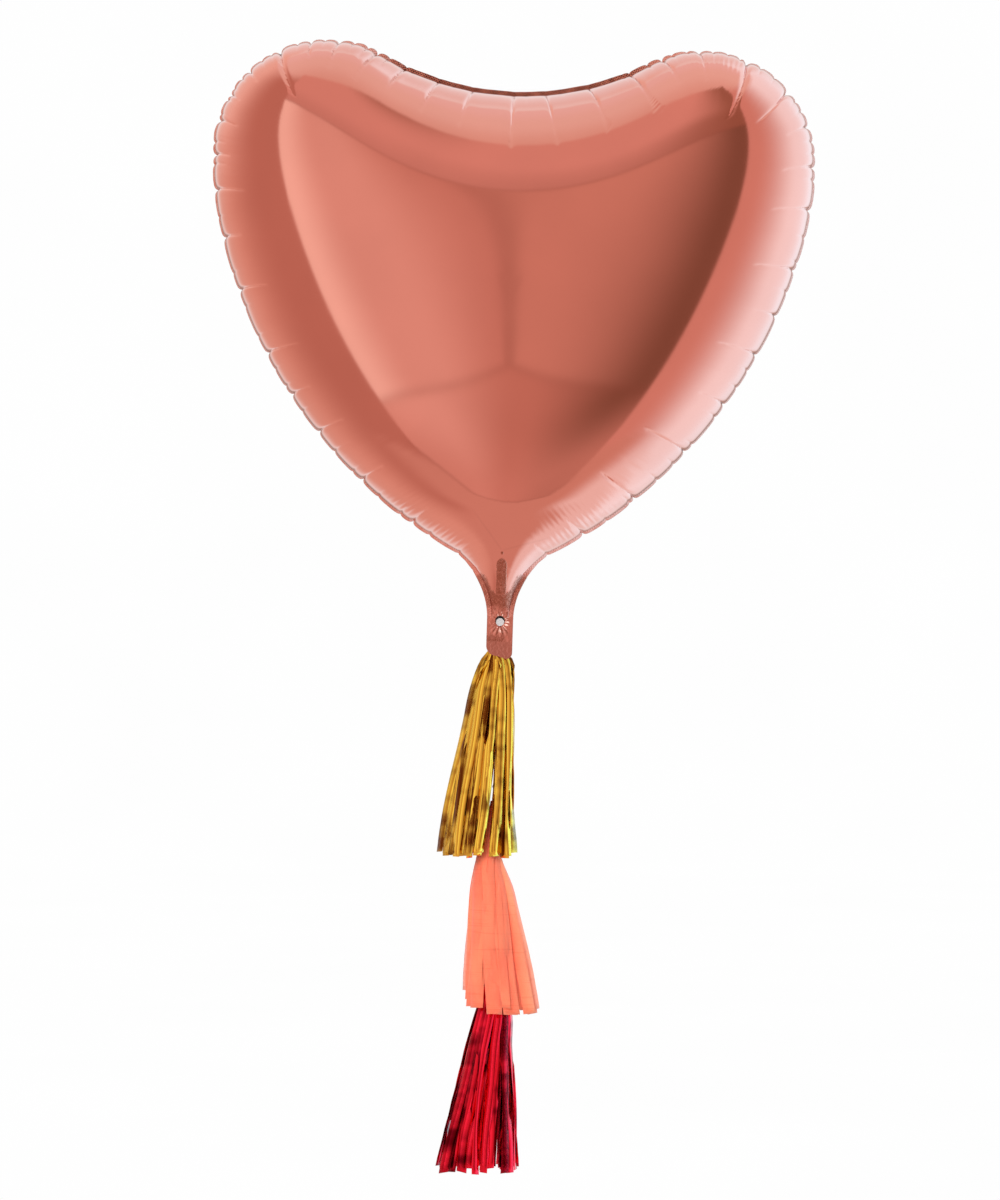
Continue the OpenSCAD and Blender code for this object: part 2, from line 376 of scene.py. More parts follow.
def resampled(line, count, closed=False):
    """count points spread evenly by length along a line."""
    loop = np.vstack([line, line[:1]]) if closed else line
    run = np.r_[0, np.cumsum(np.hypot(*np.diff(loop, axis=0).T))]
    at = np.linspace(0, run[-1], count, endpoint=not closed)
    return np.column_stack([np.interp(at, run, loop[:, 0]), np.interp(at, run, loop[:, 1])])


def mirrored(half):
    """The whole outline, clockwise from the cleft, from its right half."""
    return np.vstack([half, half[:0:-1] * [-1, 1]])


weld_half = arc_chain(weld_w, 0.002)
weld_line = resampled(mirrored(weld_half), 500, closed=True)
seam_run = np.r_[0, np.cumsum(np.hypot(*np.diff(weld_half, axis=0).T))]


def batches(count):
    """Slices that take a long array a few thousand rows at a time, to spare memory."""
    return [slice(first, first + 4000) for first in range(0, count, 4000)]


def room(points):
    """Mean-value distance to the weld line: 2 / sum((1/a + 1/b) tan(angle/2)) over its edges,
    where a and b are the distances to an edge's ends and angle is how wide the edge looks."""
    tiny = 1e-12
    found = np.empty(len(points))
    for part in batches(len(points)):
        a = weld_line[None] - points[part, None]
        b = np.roll(weld_line, -1, 0)[None] - points[part, None]
        near, far = np.hypot(a[..., 0], a[..., 1]), np.hypot(b[..., 0], b[..., 1])
        on_line = near.min(1) < tiny
        near, far = np.maximum(near, tiny), np.maximum(far, tiny)
        cross = a[..., 1] * b[..., 0] - a[..., 0] * b[..., 1]
        views = (1 / near + 1 / far) * cross / (near * far + (a * b).sum(-1) + tiny)
        total = views.sum(-1)
        found[part] = np.where(on_line | (total < 1e-6), 0, 2 / np.maximum(total, 1e-6))
    return found


centre = np.array([0.0, arc_chain(0, 0.002)[0, 1] * 0.62])
room_most = room(np.array([[0.0, 0.400]]))[0]


def dome(points):
    """Height of the full foil: the square root of the room, as a lens, filling out up the neck."""
    lens = np.sqrt(np.maximum(room(points), 0) / room_most)
    filled = np.sin(np.pi / 2 * np.clip((points[:, 1] - tail_above) / neck_fill, 0, 1))
    return (heart_t / 2 - ply) * lens * filled


def seam_place(points):
    """For each point: its distance to the weld line; how far along the seam from the cleft the
    nearest seam point is, negative on the left side; and the seam's direction there, away
    from the cleft on the right and towards it on the left."""
    side = np.where(points[:, 0] < 0, -1.0, 1.0)
    folded = np.column_stack([np.abs(points[:, 0]), points[:, 1]])
    near, along, way = np.empty(len(points)), np.empty(len(points)), np.empty((len(points), 2))
    start, edge = weld_half[:-1], np.diff(weld_half, axis=0)
    length = np.hypot(edge[:, 0], edge[:, 1])
    for part in batches(len(points)):
        gap = folded[part, None] - start[None]
        t = np.clip((gap * edge).sum(-1) / length ** 2, 0, 1)
        away = np.hypot(gap[..., 0] - t * edge[:, 0], gap[..., 1] - t * edge[:, 1])
        best = away.argmin(1)
        row = np.arange(len(best))
        near[part] = away[row, best]
        along[part] = seam_run[best] + t[row, best] * length[best]
        way[part] = edge[best] / length[best, None]
    way[:, 1] *= side
    return near, along * side, way


def pleat_place(along, near):
    """The seam coordinate in which pleats run straight: they lean away from the cleft, by a
    tenth of their length beside it and by more than a third down the flanks."""
    flank = np.clip((np.abs(along) - 0.10) / 0.45, 0, 1)
    return along - near * (0.10 * np.tanh(along / 0.03) + 0.27 * flank * np.sign(along))


# Pleats, as (millimetres along the seam from the cleft, length inwards) and, at the corners of
# the lobes, a greater depth. The right side counts up.
right_pleats = [
    (37, 80), (90, 70), (143, 70), (186, 42), (232, 46), (292, 74, 1.7), (354, 66, 1.7), (402, 30),
    (452, 36), (504, 48), (580, 54), (640, 30), (693, 50), (765, 28), (840, 52), (924, 44), (1000, 24)]
left_pleats = [
    (3, 78), (54, 62), (97, 46), (140, 34), (179, 44), (228, 38), (262, 28), (302, 74, 1.7), (346, 24),
    (382, 20), (416, 26), (458, 22), (501, 32), (560, 24), (627, 32), (711, 36), (770, 24), (826, 36),
    (905, 28), (985, 22)]
pleat_rng = np.random.default_rng(11)
pleats = [(side * at / 1000, length / 1000, *(weight or [1.0]))
          for side, made in ((1, right_pleats), (-1, left_pleats)) for at, length, *weight in made]
# Small puckers between them, closer together round the lobes.
for sign in (-1, 1):
    at = 0.012
    while at < seam_end - 0.02:
        lobe = lobe_from < at < lobe_to + 0.04
        if min(abs(sign * at - p[0]) for p in pleats if p[2] > 0.9) > 0.007:
            length = pleat_rng.uniform(0.008, 0.020)
            weight = pleat_rng.uniform(0.25, 0.55) * (1 if at > lobe_from - 0.01 else 0.5)
            pleats.append((sign * at, length, weight))
        at += pleat_rng.uniform(0.013, 0.021) if lobe else pleat_rng.uniform(0.024, 0.050)
pleats = np.array(sorted(pleats))
# Bunches of fine wrinkles, as (place along the seam, half spread, reach inwards).
bunches = [(0.245, 0.030, 0.034), (-0.965, 0.022, 0.024), (-1.030, 0.030, 0.022), (1.000, 0.040, 0.024)]


def puckers(along, near, seed):
    """Displacement along the outward normal near the seam: pillows between neighbouring
    pleats, less a sharp valley along each pleat that fades out over the pleat's length,
    plus faint drawn ridges and a few bunches of fine wrinkles. Zero a hand's breadth in."""
    rng = np.random.default_rng(seed)
    at = pleat_place(along, near)
    big = pleats[pleats[:, 2] > 0.9]
    slot = np.clip(np.searchsorted(big[:, 0], at), 1, len(big) - 1)
    gap = big[slot, 0] - big[slot - 1, 0]
    t = np.clip((at - big[slot - 1, 0]) / gap, 0, 1)
    lobe = np.clip((np.abs(along) - lobe_from) / 0.06, 0, 1)
    lobe *= 1 - 0.75 * np.clip((np.abs(along) - lobe_to) / 0.1, 0, 1)
    pillow = (0.010 + 0.014 * lobe) * np.minimum(gap, 0.05) * np.sqrt(np.sin(np.pi * t))
    pillow *= np.exp(-near / 0.010)
    small_slot = np.clip(np.searchsorted(pleats[:, 0], at), 1, len(pleats) - 1)
    small_gap = pleats[small_slot, 0] - pleats[small_slot - 1, 0]
    t = np.clip((at - pleats[small_slot - 1, 0]) / small_gap, 0, 1)
    pillow += 0.045 * lobe * small_gap * np.sqrt(np.sin(np.pi * t)) * np.exp(-near / 0.004)
    valley = np.zeros_like(at)
    for where, length, weight in pleats:
        close = np.abs(at - where) < 0.018
        if not close.any():
            continue
        reach = length * rng.uniform(0.85, 1.15)
        fade = np.clip(1 - near[close] / reach, 0, 1)
        width = 0.0016 * (0.6 + 0.4 * weight) * (0.75 + 0.6 * fade ** 3)
        depth = weight * (0.0016 + 0.0024 * fade ** 3) * fade ** 0.35
        valley[close] += depth * np.exp(-np.abs(at[close] - where) / width)
    ridges = np.zeros_like(at)
    for wave in (0.0057, 0.0083, 0.0121, 0.0190, 0.031):
        swell = 0.5 + 0.5 * np.sin(at * rng.uniform(14, 40) + rng.uniform(0, 6.3))
        ridges += wave * 0.0024 * swell * np.sin(2 * np.pi * at / wave + rng.uniform(0, 6.3))
    ridges *= np.clip(near / 0.006, 0, 1) * np.exp(-(near / 0.045) ** 2)
    for middle, spread, deep in bunches:
        window = np.exp(-((at - middle) / spread) ** 2) * np.clip(near / 0.004, 0, 1)
        window *= np.exp(-(near / deep) ** 2)
        ridges += 0.00030 * window * np.sin(2 * np.pi * (at + 0.15 * near) / 0.0068) \
            + 0.00016 * window * np.sin(2 * np.pi * at / 0.0041 + 2)
    cleft = np.clip((0.17 - np.abs(along)) / 0.05, 0, 1)
    return (pillow - valley + ridges) * (1 - 0.85 * cleft * np.exp(-(near / 0.0035) ** 2))


def seam_sway(along):
    """How far the seam wanders forwards and back between the pleats."""
    sway = 0.0011 * np.sin(2 * np.pi * along / 0.047 + 1) + 0.0008 * np.sin(2 * np.pi * along / 0.083)
    return sway * np.clip((seam_end - 0.02 - np.abs(along)) / 0.1, 0, 1)


def rim_tilt(along):
    """How far the flat rim leans back, in radians: upright in the cleft and at the neck."""
    reach = np.abs(along)
    back = 60 + 14 * np.clip((reach - 0.45) / 0.2, 0, 1) - 16 * np.clip((reach - 0.85) / 0.1, 0, 1)
    ends = np.clip((reach - 0.11) / 0.12, 0, 1) * np.clip((seam_end - reach) / 0.045, 0, 1)
    return np.radians(back) * ends


def rim_width(along):
    """Width of the rim: the weld's width, even in the cleft, and elsewhere a little more
    between puckers than at them, most round the lobes."""
    slot = np.clip(np.searchsorted(pleats[:, 0], along), 1, len(pleats) - 1)
    t = (along - pleats[slot - 1, 0]) / (pleats[slot, 0] - pleats[slot - 1, 0])
    reach = np.abs(along)
    uneven = np.clip((reach - lobe_from) / 0.05, 0, 1)
    uneven *= 1 - 0.6 * np.clip((reach - lobe_to) / 0.1, 0, 1)
    uneven *= np.clip((seam_end - 0.02 - reach) / 0.02, 0, 1)
    return weld_w * (1 - 0.28 * uneven * (1 - np.sqrt(np.sin(np.pi * np.clip(t, 0, 1)))))


def outward(line):
    """Unit normals of a closed clockwise line, pointing out of it."""
    run = np.roll(line, -1, 0) - np.roll(line, 1, 0)
    return np.column_stack([-run[:, 1], run[:, 0]]) / np.hypot(run[:, 0], run[:, 1])[:, None]


# The dome's grid: rays from the middle to points along the seam, and rings that crowd
# towards the seam. Half of the rays stop a third of the way in, and half of the rest later.
rays = 2048
base_points = 24                    # points along the straight lower end, at split_z
rim_rings = 5
tail_along = 1.14                   # the whole tail counts as past the seam's end
ring_levels = [(np.linspace(0, 0.74, 44), 1), (np.linspace(0.74, 1.10, 15)[1:], 2),
               (np.linspace(1.10, 1.54, 20)[1:], 4)]


def heart_boundary():
    """The weld line down to split_z on both sides, closed by a straight row across the neck."""
    above = weld_half[weld_half[:, 1] > split_z]
    below = weld_half[len(above)]
    t = (above[-1, 1] - split_z) / (above[-1, 1] - below[1])
    half = np.vstack([above, above[-1] + t * (below - above[-1])])
    side_count = (rays - base_points) // 2
    side = resampled(half, side_count + 1)
    base = np.column_stack([np.linspace(side[-1, 0], -side[-1, 0], base_points + 1),
                            np.full(base_points + 1, split_z)])
    return np.vstack([side, base[1:-1], side[:0:-1] * [-1, 1]])


def tail_boundary(top_row):
    """Edge of the tail below split_z: the given top row, then round the cut end, whose left
    corner has the larger radius, back to the row's start."""
    right_r, left_r = 0.0075, 0.0125
    lift = 0.0035                   # the cut end rises a little to the left
    down = np.linspace(split_z, -tail_below + right_r, 26)[1:]
    turn = np.linspace(0, np.pi / 2, 12)
    right = np.column_stack([np.full(len(down), tail_half), down])
    right_corner = np.column_stack([tail_half - right_r + right_r * np.cos(turn),
                                    right_r - tail_below - right_r * np.sin(turn)])
    left_corner = np.column_stack([left_r - tail_half - left_r * np.sin(turn),
                                   lift + left_r - tail_below - left_r * np.cos(turn)])
    up = np.linspace(lift + left_r - tail_below, split_z, 24)
    left = np.column_stack([np.full(len(up), -tail_half), up])[1:-1]
    bottom = np.linspace(right_corner[-1], left_corner[0], 14)[1:-1]
    return np.vstack([top_row, right[1:], right_corner[1:], bottom, left_corner, left])


def tail_relief(points, seed):
    """Crinkles of the flat tail and neck: short pleats that fan out above and below the hole,
    and soft dents from handling, always outwards, zero on the inside of the hole's edge."""
    rng = np.random.default_rng(seed)
    x, z = points[:, 0], points[:, 1]
    r = np.hypot(x, z)
    angle = np.arctan2(x, z)
    fan = np.clip((r - hole_r) / 0.003, 0, 1) * np.exp(-((r - 0.011) / 0.007) ** 2)
    pleated = 0.00034 * fan * (0.7 + np.sin(angle * 17 + 1.5 * np.sin(angle * 3)))
    raised = pleated * (0.25 + 0.75 * np.cos(angle) ** 2)
    for _ in range(26):
        way = rng.uniform(0, np.pi)
        offset = rng.uniform(-0.03, 0.04)
        dist = (x * np.cos(way) + (z + 0.004) * np.sin(way)) - offset * 0.6
        mid = rng.uniform(-0.012, 0.012, 2) + [0, rng.uniform(-0.03, 0.045)]
        spread = np.exp(-(((x - mid[0]) ** 2 + (z - mid[1]) ** 2) / 0.011 ** 2))
        raised += 0.00030 * rng.uniform(0.4, 1) * spread * np.exp(-np.abs(dist) / 0.0011)
    fade = np.clip((0.085 - z) / 0.04, 0, 1) * np.clip((r - hole_r) / 0.002, 0.0, 1)
    return raised * fade


boundary = heart_boundary()
rings = [centre + math.cos(turn) * (boundary[::thin] - centre)
         for turns, thin in ring_levels for turn in turns]
flat = np.vstack(rings)
dome_near, dome_along, seam_way = seam_place(flat)
# Points beside a pleat's fold are slid on to it, so that the fold comes out sharp.
folds = pleats[pleats[:, 2] > 0.9, 0]
places = pleat_place(dome_along, dome_near)
slide = folds[np.abs(places[:, None] - folds[None]).argmin(1)] - places
spacing = np.concatenate([np.hypot(*(np.roll(ring, -1, 0) - ring).T) for ring in rings])
slide[(np.abs(slide) > 0.47 * spacing) | (dome_near > 0.085) | (flat[:, 1] < 0.06)] = 0
flat = flat + slide[:, None] * seam_way
dome_along = dome_along + slide
dome_height = dome(flat)
nudge = 0.0004
slope_x = (dome(flat + [nudge, 0]) - dome_height) / nudge
slope_z = (dome(flat + [0, nudge]) - dome_height) / nudge
dome_normal = np.column_stack([-slope_x, np.ones(len(flat)), -slope_z])
# On the seam itself the skin stands square to the weld plane; across the neck it faces out.
at_base = np.abs(boundary[:, 1] - split_z) < 1e-9
side_out = outward(boundary)
dome_normal[:rays] = np.column_stack([side_out[:, 0], np.full(rays, 0.05), side_out[:, 1]])
dome_normal[:rays][at_base] = [0, 1, 0]
dome_normal /= np.linalg.norm(dome_normal, axis=1)[:, None]
dome_height[:rays] = np.where(at_base, dome_height[:rays], 0)


def dome_faces():
    """Quads between rings of the same count, pentagons where every second ray stops, and the
    innermost ring closed by one face."""
    faces, offset = [], 0
    for outer, inner in zip(rings[:-1], rings[1:]):
        n, m = len(outer), len(inner)
        i = np.arange(m)
        if n == m:
            corners = i, (i + 1) % n, n + (i + 1) % m, n + i
        else:
            corners = 2 * i, 2 * i + 1, (2 * i + 2) % n, n + (i + 1) % m, n + i
        faces += (offset + np.column_stack(corners)).tolist()
        offset += n
    return faces + [list(range(offset, offset + len(rings[-1])))]


def leaned(points):
    """The points turned by the balloon's lean about the filling hole."""
    x, y, z = points.T
    return np.column_stack([x * math.cos(lean) + z * math.sin(lean), y,
                            z * math.cos(lean) - x * math.sin(lean)])


def walled(made, thickness, offset=-1):
    """Gives a skin its thickness; with an offset of -1 it lies on the inner side."""
    wall = made.modifiers.new("wall", "SOLIDIFY")
    wall.thickness = thickness
    wall.offset = offset


def fitted(made, body, node_name):
    """Puts a piece on its body, in the place of the frame's node."""
    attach(made, body)
    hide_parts(node_name)


def foil(name, front, seed):
    """One ply of the balloon as a single skin: the dome, the flat rim round it, and the tail,
    with the filling hole in the front ply. A point is (x, height, z) moved by the puckers
    along the dome's normal, and turned by the balloon's lean."""
    verts, alongs, nears, faces = [], [], [], dome_faces()

    def add(points, height, along, near):
        first = sum(len(v) for v in verts)
        verts.append(np.column_stack([points[:, 0], height, points[:, 1]]))
        alongs.append(along)
        nears.append(near)
        return first

    # Dome
    push = puckers(dome_along, dome_near, seed) * np.clip((flat[:, 1] - 0.045) / 0.05, 0, 1)
    body = np.column_stack([flat[:, 0], dome_height, flat[:, 1]]) + dome_normal * push[:, None]
    body[:, 1] += tail_relief(flat, seed + 5)
    mirror = -1 if front else 1
    body[:, 1] = mirror * (body[:, 1] + ply * 0.5) + seam_sway(dome_along) * np.exp(-dome_near / 0.012)
    add(body[:, [0, 2]], body[:, 1], dome_along, dome_near)

    # Rim, in strips outwards from the seam down to the neck
    ends = np.flatnonzero(at_base)
    rim_index = np.r_[ends[-1]:rays, 0:ends[0] + 1]
    seam_along = dome_along[rim_index]
    tilt = rim_tilt(seam_along)
    widths = rim_width(seam_along)
    rim_out = side_out[rim_index]
    rim_out[0], rim_out[-1] = [-1, 0], [1, 0]
    wobble = 0.0007 * np.sin(2 * np.pi * seam_along / 0.021 + 1)
    wobble += 0.0004 * np.sin(2 * np.pi * seam_along / 0.0093)
    wobble *= np.clip((seam_end - 0.01 - np.abs(seam_along)) / 0.05, 0, 1)
    previous, rim_firsts = rim_index, []
    for share in np.arange(1, rim_rings + 1) / rim_rings:
        out = widths * share
        ring = body[rim_index]
        ring[:, [0, 2]] += rim_out * (out * np.cos(tilt))[:, None]
        ring[:, 1] += out * np.sin(tilt) + wobble * share ** 1.5
        rim_firsts.append(add(ring[:, [0, 2]], ring[:, 1], seam_along, -out))
        current = rim_firsts[-1] + np.arange(len(ring))
        faces += np.column_stack([previous[:-1], current[:-1], current[1:], previous[1:]]).tolist()
        previous = current

    # Tail, in rings round the filling hole; its top row is the rim's ends and the dome's base
    left_ends = rim_firsts[::-1]
    right_ends = [first + len(rim_index) - 1 for first in rim_firsts]
    top_index = left_ends + list(ends[::-1]) + right_ends
    edge = tail_boundary(np.vstack(verts)[top_index][:, [0, 2]])
    angle = np.arctan2(edge[:, 0], edge[:, 1])
    circle = hole_r * np.column_stack([np.sin(angle), np.cos(angle)])
    tail_rings = [edge * (1 - share) + circle * share for share in np.linspace(0, 1, 20) ** 1.15]
    if not front:
        tail_rings += [circle * share for share in np.linspace(1, 0.05, 8)[1:]]
    previous = None
    for ring in tail_rings:
        height = mirror * (dome(ring) + tail_relief(ring, seed + 5) + ply * 0.5)
        from_edge = np.clip(tail_half - np.abs(ring[:, 0]), 0.002, 0.016)
        current = add(ring, height, np.full(len(edge), tail_along), from_edge) + np.arange(len(edge))
        if previous is None:
            current[:len(top_index)] = top_index
        else:
            faces += np.column_stack([previous, np.roll(previous, -1), np.roll(current, -1),
                                      current]).tolist()
        previous = current
    if not front:
        faces.append(previous.tolist())
        faces = [face[::-1] for face in faces]

    made = mesh_piece(name, leaned(np.vstack(verts)), faces, rose_material,
                      seam_along=np.concatenate(alongs), seam_in=np.concatenate(nears))
    walled(made, 0.0003)
    return made


def mesh_piece(name, points, faces, material, **attributes):
    """A smooth-shaded mesh object from points, faces and values for each point."""
    mesh = bpy.data.meshes.new(name)
    mesh.from_pydata(np.asarray(points).tolist(), [], faces)
    used = np.zeros(len(mesh.vertices), bool)
    loops = np.empty(len(mesh.loops), np.int32)
    mesh.loops.foreach_get("vertex_index", loops)
    used[loops] = True
    for key, values in attributes.items():
        layer = mesh.attributes.new(key, "FLOAT", "POINT")
        layer.data.foreach_set("value", np.asarray(values, np.float32))
    mesh.polygons.foreach_set("use_smooth", np.ones(len(mesh.polygons), bool))
    mesh.materials.append(material)
    mesh.update()
    made = bpy.data.objects.new(name, mesh)
    bpy.context.scene.collection.objects.link(made)
    if not used.all():
        drop_loose(made)
    return made


def drop_loose(made):
    """Removes points that no face uses."""
    work = bmesh.new()
    work.from_mesh(made.data)
    bmesh.ops.delete(work, geom=[v for v in work.verts if not v.link_faces], context="VERTS")
    work.to_mesh(made.data)
    work.free()


for name, is_front, seed in (("front_foil", True, 3), ("rear_foil", False, 8)):
    piece = foil(name, is_front, seed)
    fitted(piece, "balloon", "front_panel" if is_front else "rear_panel")


# ---- Threads, links and valve films ----
# Twisted polyester thread and clear heat-sealed film, as the frame has them.
def thread_material():
    """White thread: a diagonal wave is its twist, with painted shade greying the grooves between the
    plies, and noise is its fluff.
    """
    material, tree, shader = new_material("twisted_white_thread")
    place = object_place(tree)
    twist = node(tree, "ShaderNodeTexWave",
                 {"Vector": place, "Scale": 260, "Distortion": 1.5, "Detail": 1},
                 bands_direction="DIAGONAL").outputs["Fac"]
    fluff = noise(place, 900, 2)
    # Painted shade: the colour greys where the twist's relief is low.
    plug(shader, {
        "Base Color": mix(twist, (0.62, 0.60, 0.56), (0.88, 0.87, 0.84)),
        "Roughness": scaled(fluff, 0.3, 0.45), "Sheen Weight": 0.3,
        "Normal": relief(scaled(twist, 1, times(fluff, 0.3)), 0.6, 0.0002)})
    return material


def effect_group(name, inputs, outputs):
    """An empty shader node group with named sockets; returns the group and its two ends."""
    group = bpy.data.node_groups.new(name, "ShaderNodeTree")
    for in_out, sockets in (("INPUT", inputs), ("OUTPUT", outputs)):
        for socket_name, kind in sockets:
            group.interface.new_socket(socket_name, in_out=in_out, socket_type="NodeSocket" + kind)
    return group, group.nodes.new("NodeGroupInput").outputs, group.nodes.new("NodeGroupOutput")


def placed(tree, group, inputs):
    """The outputs of a group placed in a material with these inputs."""
    return node(tree, "ShaderNodeGroup", inputs, node_tree=group).outputs


def hazy_film():
    """Shared by the clear films: haze, and the roughness and relief of handling marks."""
    group, start, end = effect_group("hazy_film", [("Place", "Vector"), ("Scale", "Float")],
                                     [("Haze", "Float"), ("Roughness", "Float"), ("Normal", "Vector")])
    haze = noise(start["Place"], start["Scale"], 4)
    plug(end, {"Haze": haze, "Roughness": scaled(haze, 0.25, 0.12),
               "Normal": relief(haze, 0.3, 0.0002)})
    return group


hazy_film_group = hazy_film()


def film_material(name, tint, see_through):
    """Clear plastic with faint haze and handling marks."""
    material, tree, shader = new_material(name)
    marks = placed(tree, hazy_film_group, {"Place": object_place(tree), "Scale": 320})
    plug(shader, {
        "Base Color": mix(marks["Haze"], shade(tint, 0.9), tint), "Roughness": marks["Roughness"],
        "Normal": marks["Normal"], "Transmission Weight": see_through, "IOR": 1.49})
    return material


white_thread = thread_material()
valve_film = film_material("valve_film", (0.70, 0.72, 0.74), 0.35)
finishes = [(white_thread, ("anchor_thread", "gold_link", "gold_thread", "coral_link", "coral_thread",
                            "red_link")),
            (valve_film, ("valve_front_film", "valve_rear_film"))]
for finish, names in finishes:
    for name in names:
        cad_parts[name].data.materials.clear()
        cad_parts[name].data.materials.append(finish)


# ---- Tape patches ----
# Two short patches of clear tape hold the thread's ends flat on the rear ply. Each is a
# cut piece that rides up over the thread and has pinked short edges.
tape_film = film_material("clear_tape_film", (0.86, 0.85, 0.80), 0.5)


def grid_faces(rows, columns, ring_rows=False, ring_columns=False):
    """Quads between neighbours on a grid of points, closed into a ring either way if asked."""
    r = np.arange(rows if ring_rows else rows - 1)[:, None]
    c = np.arange(columns if ring_columns else columns - 1)[None]
    next_r, next_c = (r + 1) % rows * columns, (c + 1) % columns
    r = r * columns
    return np.stack([r + c, r + next_c, next_r + next_c, next_r + c], -1).reshape(-1, 4)


def tape_patch(name, node_name):
    """A grid over the patch: height is a bell over the thread, and the left and right edges
    follow a small zigzag."""
    low, high = (np.array(corner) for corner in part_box(node_name))
    columns, rows = 29, 33
    teeth_count, tooth, thread_half = 9, 0.00044, 0.0012
    u, v = np.meshgrid(np.linspace(0, 1, columns), np.linspace(0, 1, rows), indexing="ij")
    inset = tooth * np.abs(((v * teeth_count) % 1) - 0.5) * 2
    x = low[0] + inset + u * (high[0] - low[0] - 2 * inset)
    z = low[2] + v * (high[2] - low[2])
    from_thread = (z - (low[2] + high[2]) / 2) / thread_half
    y = 0.00085 + (high[1] - 0.0010) * np.exp(-from_thread ** 2 / 2)
    points = np.column_stack([x.ravel(), y.ravel(), z.ravel()])
    made = mesh_piece(name, points, grid_faces(columns, rows).tolist(), tape_film)
    walled(made, 0.00015)
    fitted(made, "balloon", node_name)


tape_patch("left_tape_patch", "left_tape")
tape_patch("right_tape_patch", "right_tape")


# ---- Tassel materials ----
# Gold and red are cut from metallised film, coral from tissue paper. Each strip has its own
# tone (on the foils, dark lengths painted in as reflections), creases across its width, and its own
# lie.
def crumpled_strips():
    """Shared by the foil tassels: light and dark lengths of each strip, painted into the colour as
    reflections, and its crumples.
    """
    group, start, end = effect_group(
        "crumpled_strips",
        [("Place", "Vector"), ("Strip", "Float"), ("Down", "Float"), ("Crumple", "Float")],
        [("Light", "Float"), ("Roughness", "Float"), ("Normal", "Vector")])
    place, strip, down, crumple = (start[name] for name in ("Place", "Strip", "Down", "Crumple"))
    cloud = noise(flat_place(times(strip, 60), times(down, 13)), 1, 3, 0.6)
    own = node(group, "ShaderNodeTexWhiteNoise", {"W": times(strip, 97)}, noise_dimensions="1D")
    painted_reflection = scaled(own.outputs[0], 0.26, minus(cloud, 0.13))
    creases = noise(place, crumple, 1, 0.4)
    fine = cells(place, times(crumple, 1.6))
    height = scaled(smallest(fine, 0.12), 0.5, creases)
    # The Light output is painted reflection: dark and bright lengths of each strip that stand in for
    # what the foil mirrors.
    plug(end, {"Light": step(painted_reflection, 0.38, 0.54), "Roughness": scaled(creases, 0.10, 0.04),
               "Normal": relief(height, 0.35, 0.0012)})
    return group


crumpled_group = crumpled_strips()


def strip_foil(name, deep, bright, crumple):
    """Metallised film strips: the bright tone is the film's own colour, and the deep tone is a painted
    reflection of dark surroundings.
    """
    material, tree, shader = new_material(name)
    film = placed(tree, crumpled_group, {
        "Place": object_place(tree), "Strip": point_value(tree, "strip"),
        "Down": point_value(tree, "down"), "Crumple": crumple})
    # Painted reflection: the colour runs from the deep tone to the film's own bright tone along each
    # strip.
    plug(shader, {"Base Color": mix(film["Light"], deep, bright), "Roughness": film["Roughness"],
                  "Normal": film["Normal"], "Metallic": 1})
    return material


def strip_tissue(name, deep, bright):
    """Tissue paper strips: matte, fibrous and slightly see-through, with soft crush marks."""
    material, tree, shader = new_material(name)
    place = object_place(tree)
    lie = flat_place(times(point_value(tree, "strip"), 60), times(point_value(tree, "down"), 12))
    fibre = noise(place, 1400, 3)
    crush = noise(place, 60, 3)
    ribs = noise(stretched(place, (12, 12, 420)), 1, 2)
    tone = mix(step(noise(lie, 1, 3), 0.3, 0.7), deep, bright)
    tone = mix(times(fibre, 0.12), tone, (1.0, 0.75, 0.62))
    tone = mix(times(step(ribs, 0.58, 0.68), 0.35), tone, shade(deep, 0.82))
    plug(shader, {
        "Base Color": tone, "Roughness": 0.85, "Specular IOR Level": 0.25, "Sheen Weight": 0.25,
        "Subsurface Weight": 0.25, "Subsurface Radius": (0.02, 0.008, 0.005),
        "Subsurface Scale": 0.15,
        "Normal": relief(scaled(fibre, 0.15, plus(crush, ribs)), 0.45, 0.0008)})
    return material


# ---- Tassels ----
# A sheet cut into strips is rolled up at its uncut middle, twisted into an eye, bound with
# a turn of tape, and the strips fall from the binding as a fringe.
hang_x, hang_y, hang_z = -0.006, 0.00682, -0.008
pitch = 0.192
tassel_l = 0.280
neck_end = 0.0190
eye_middle = 0.0058
eye_r = 0.0032                     # to the middle of the eye's twisted wire
wire_r = 0.0010
neck_r = 0.0026
neck_l = 0.010
knee = 0.036
spread_from = 0.085                # a fringe's inner layers move outwards over this drop
spread_over = 0.065
spread_layer = 0.88


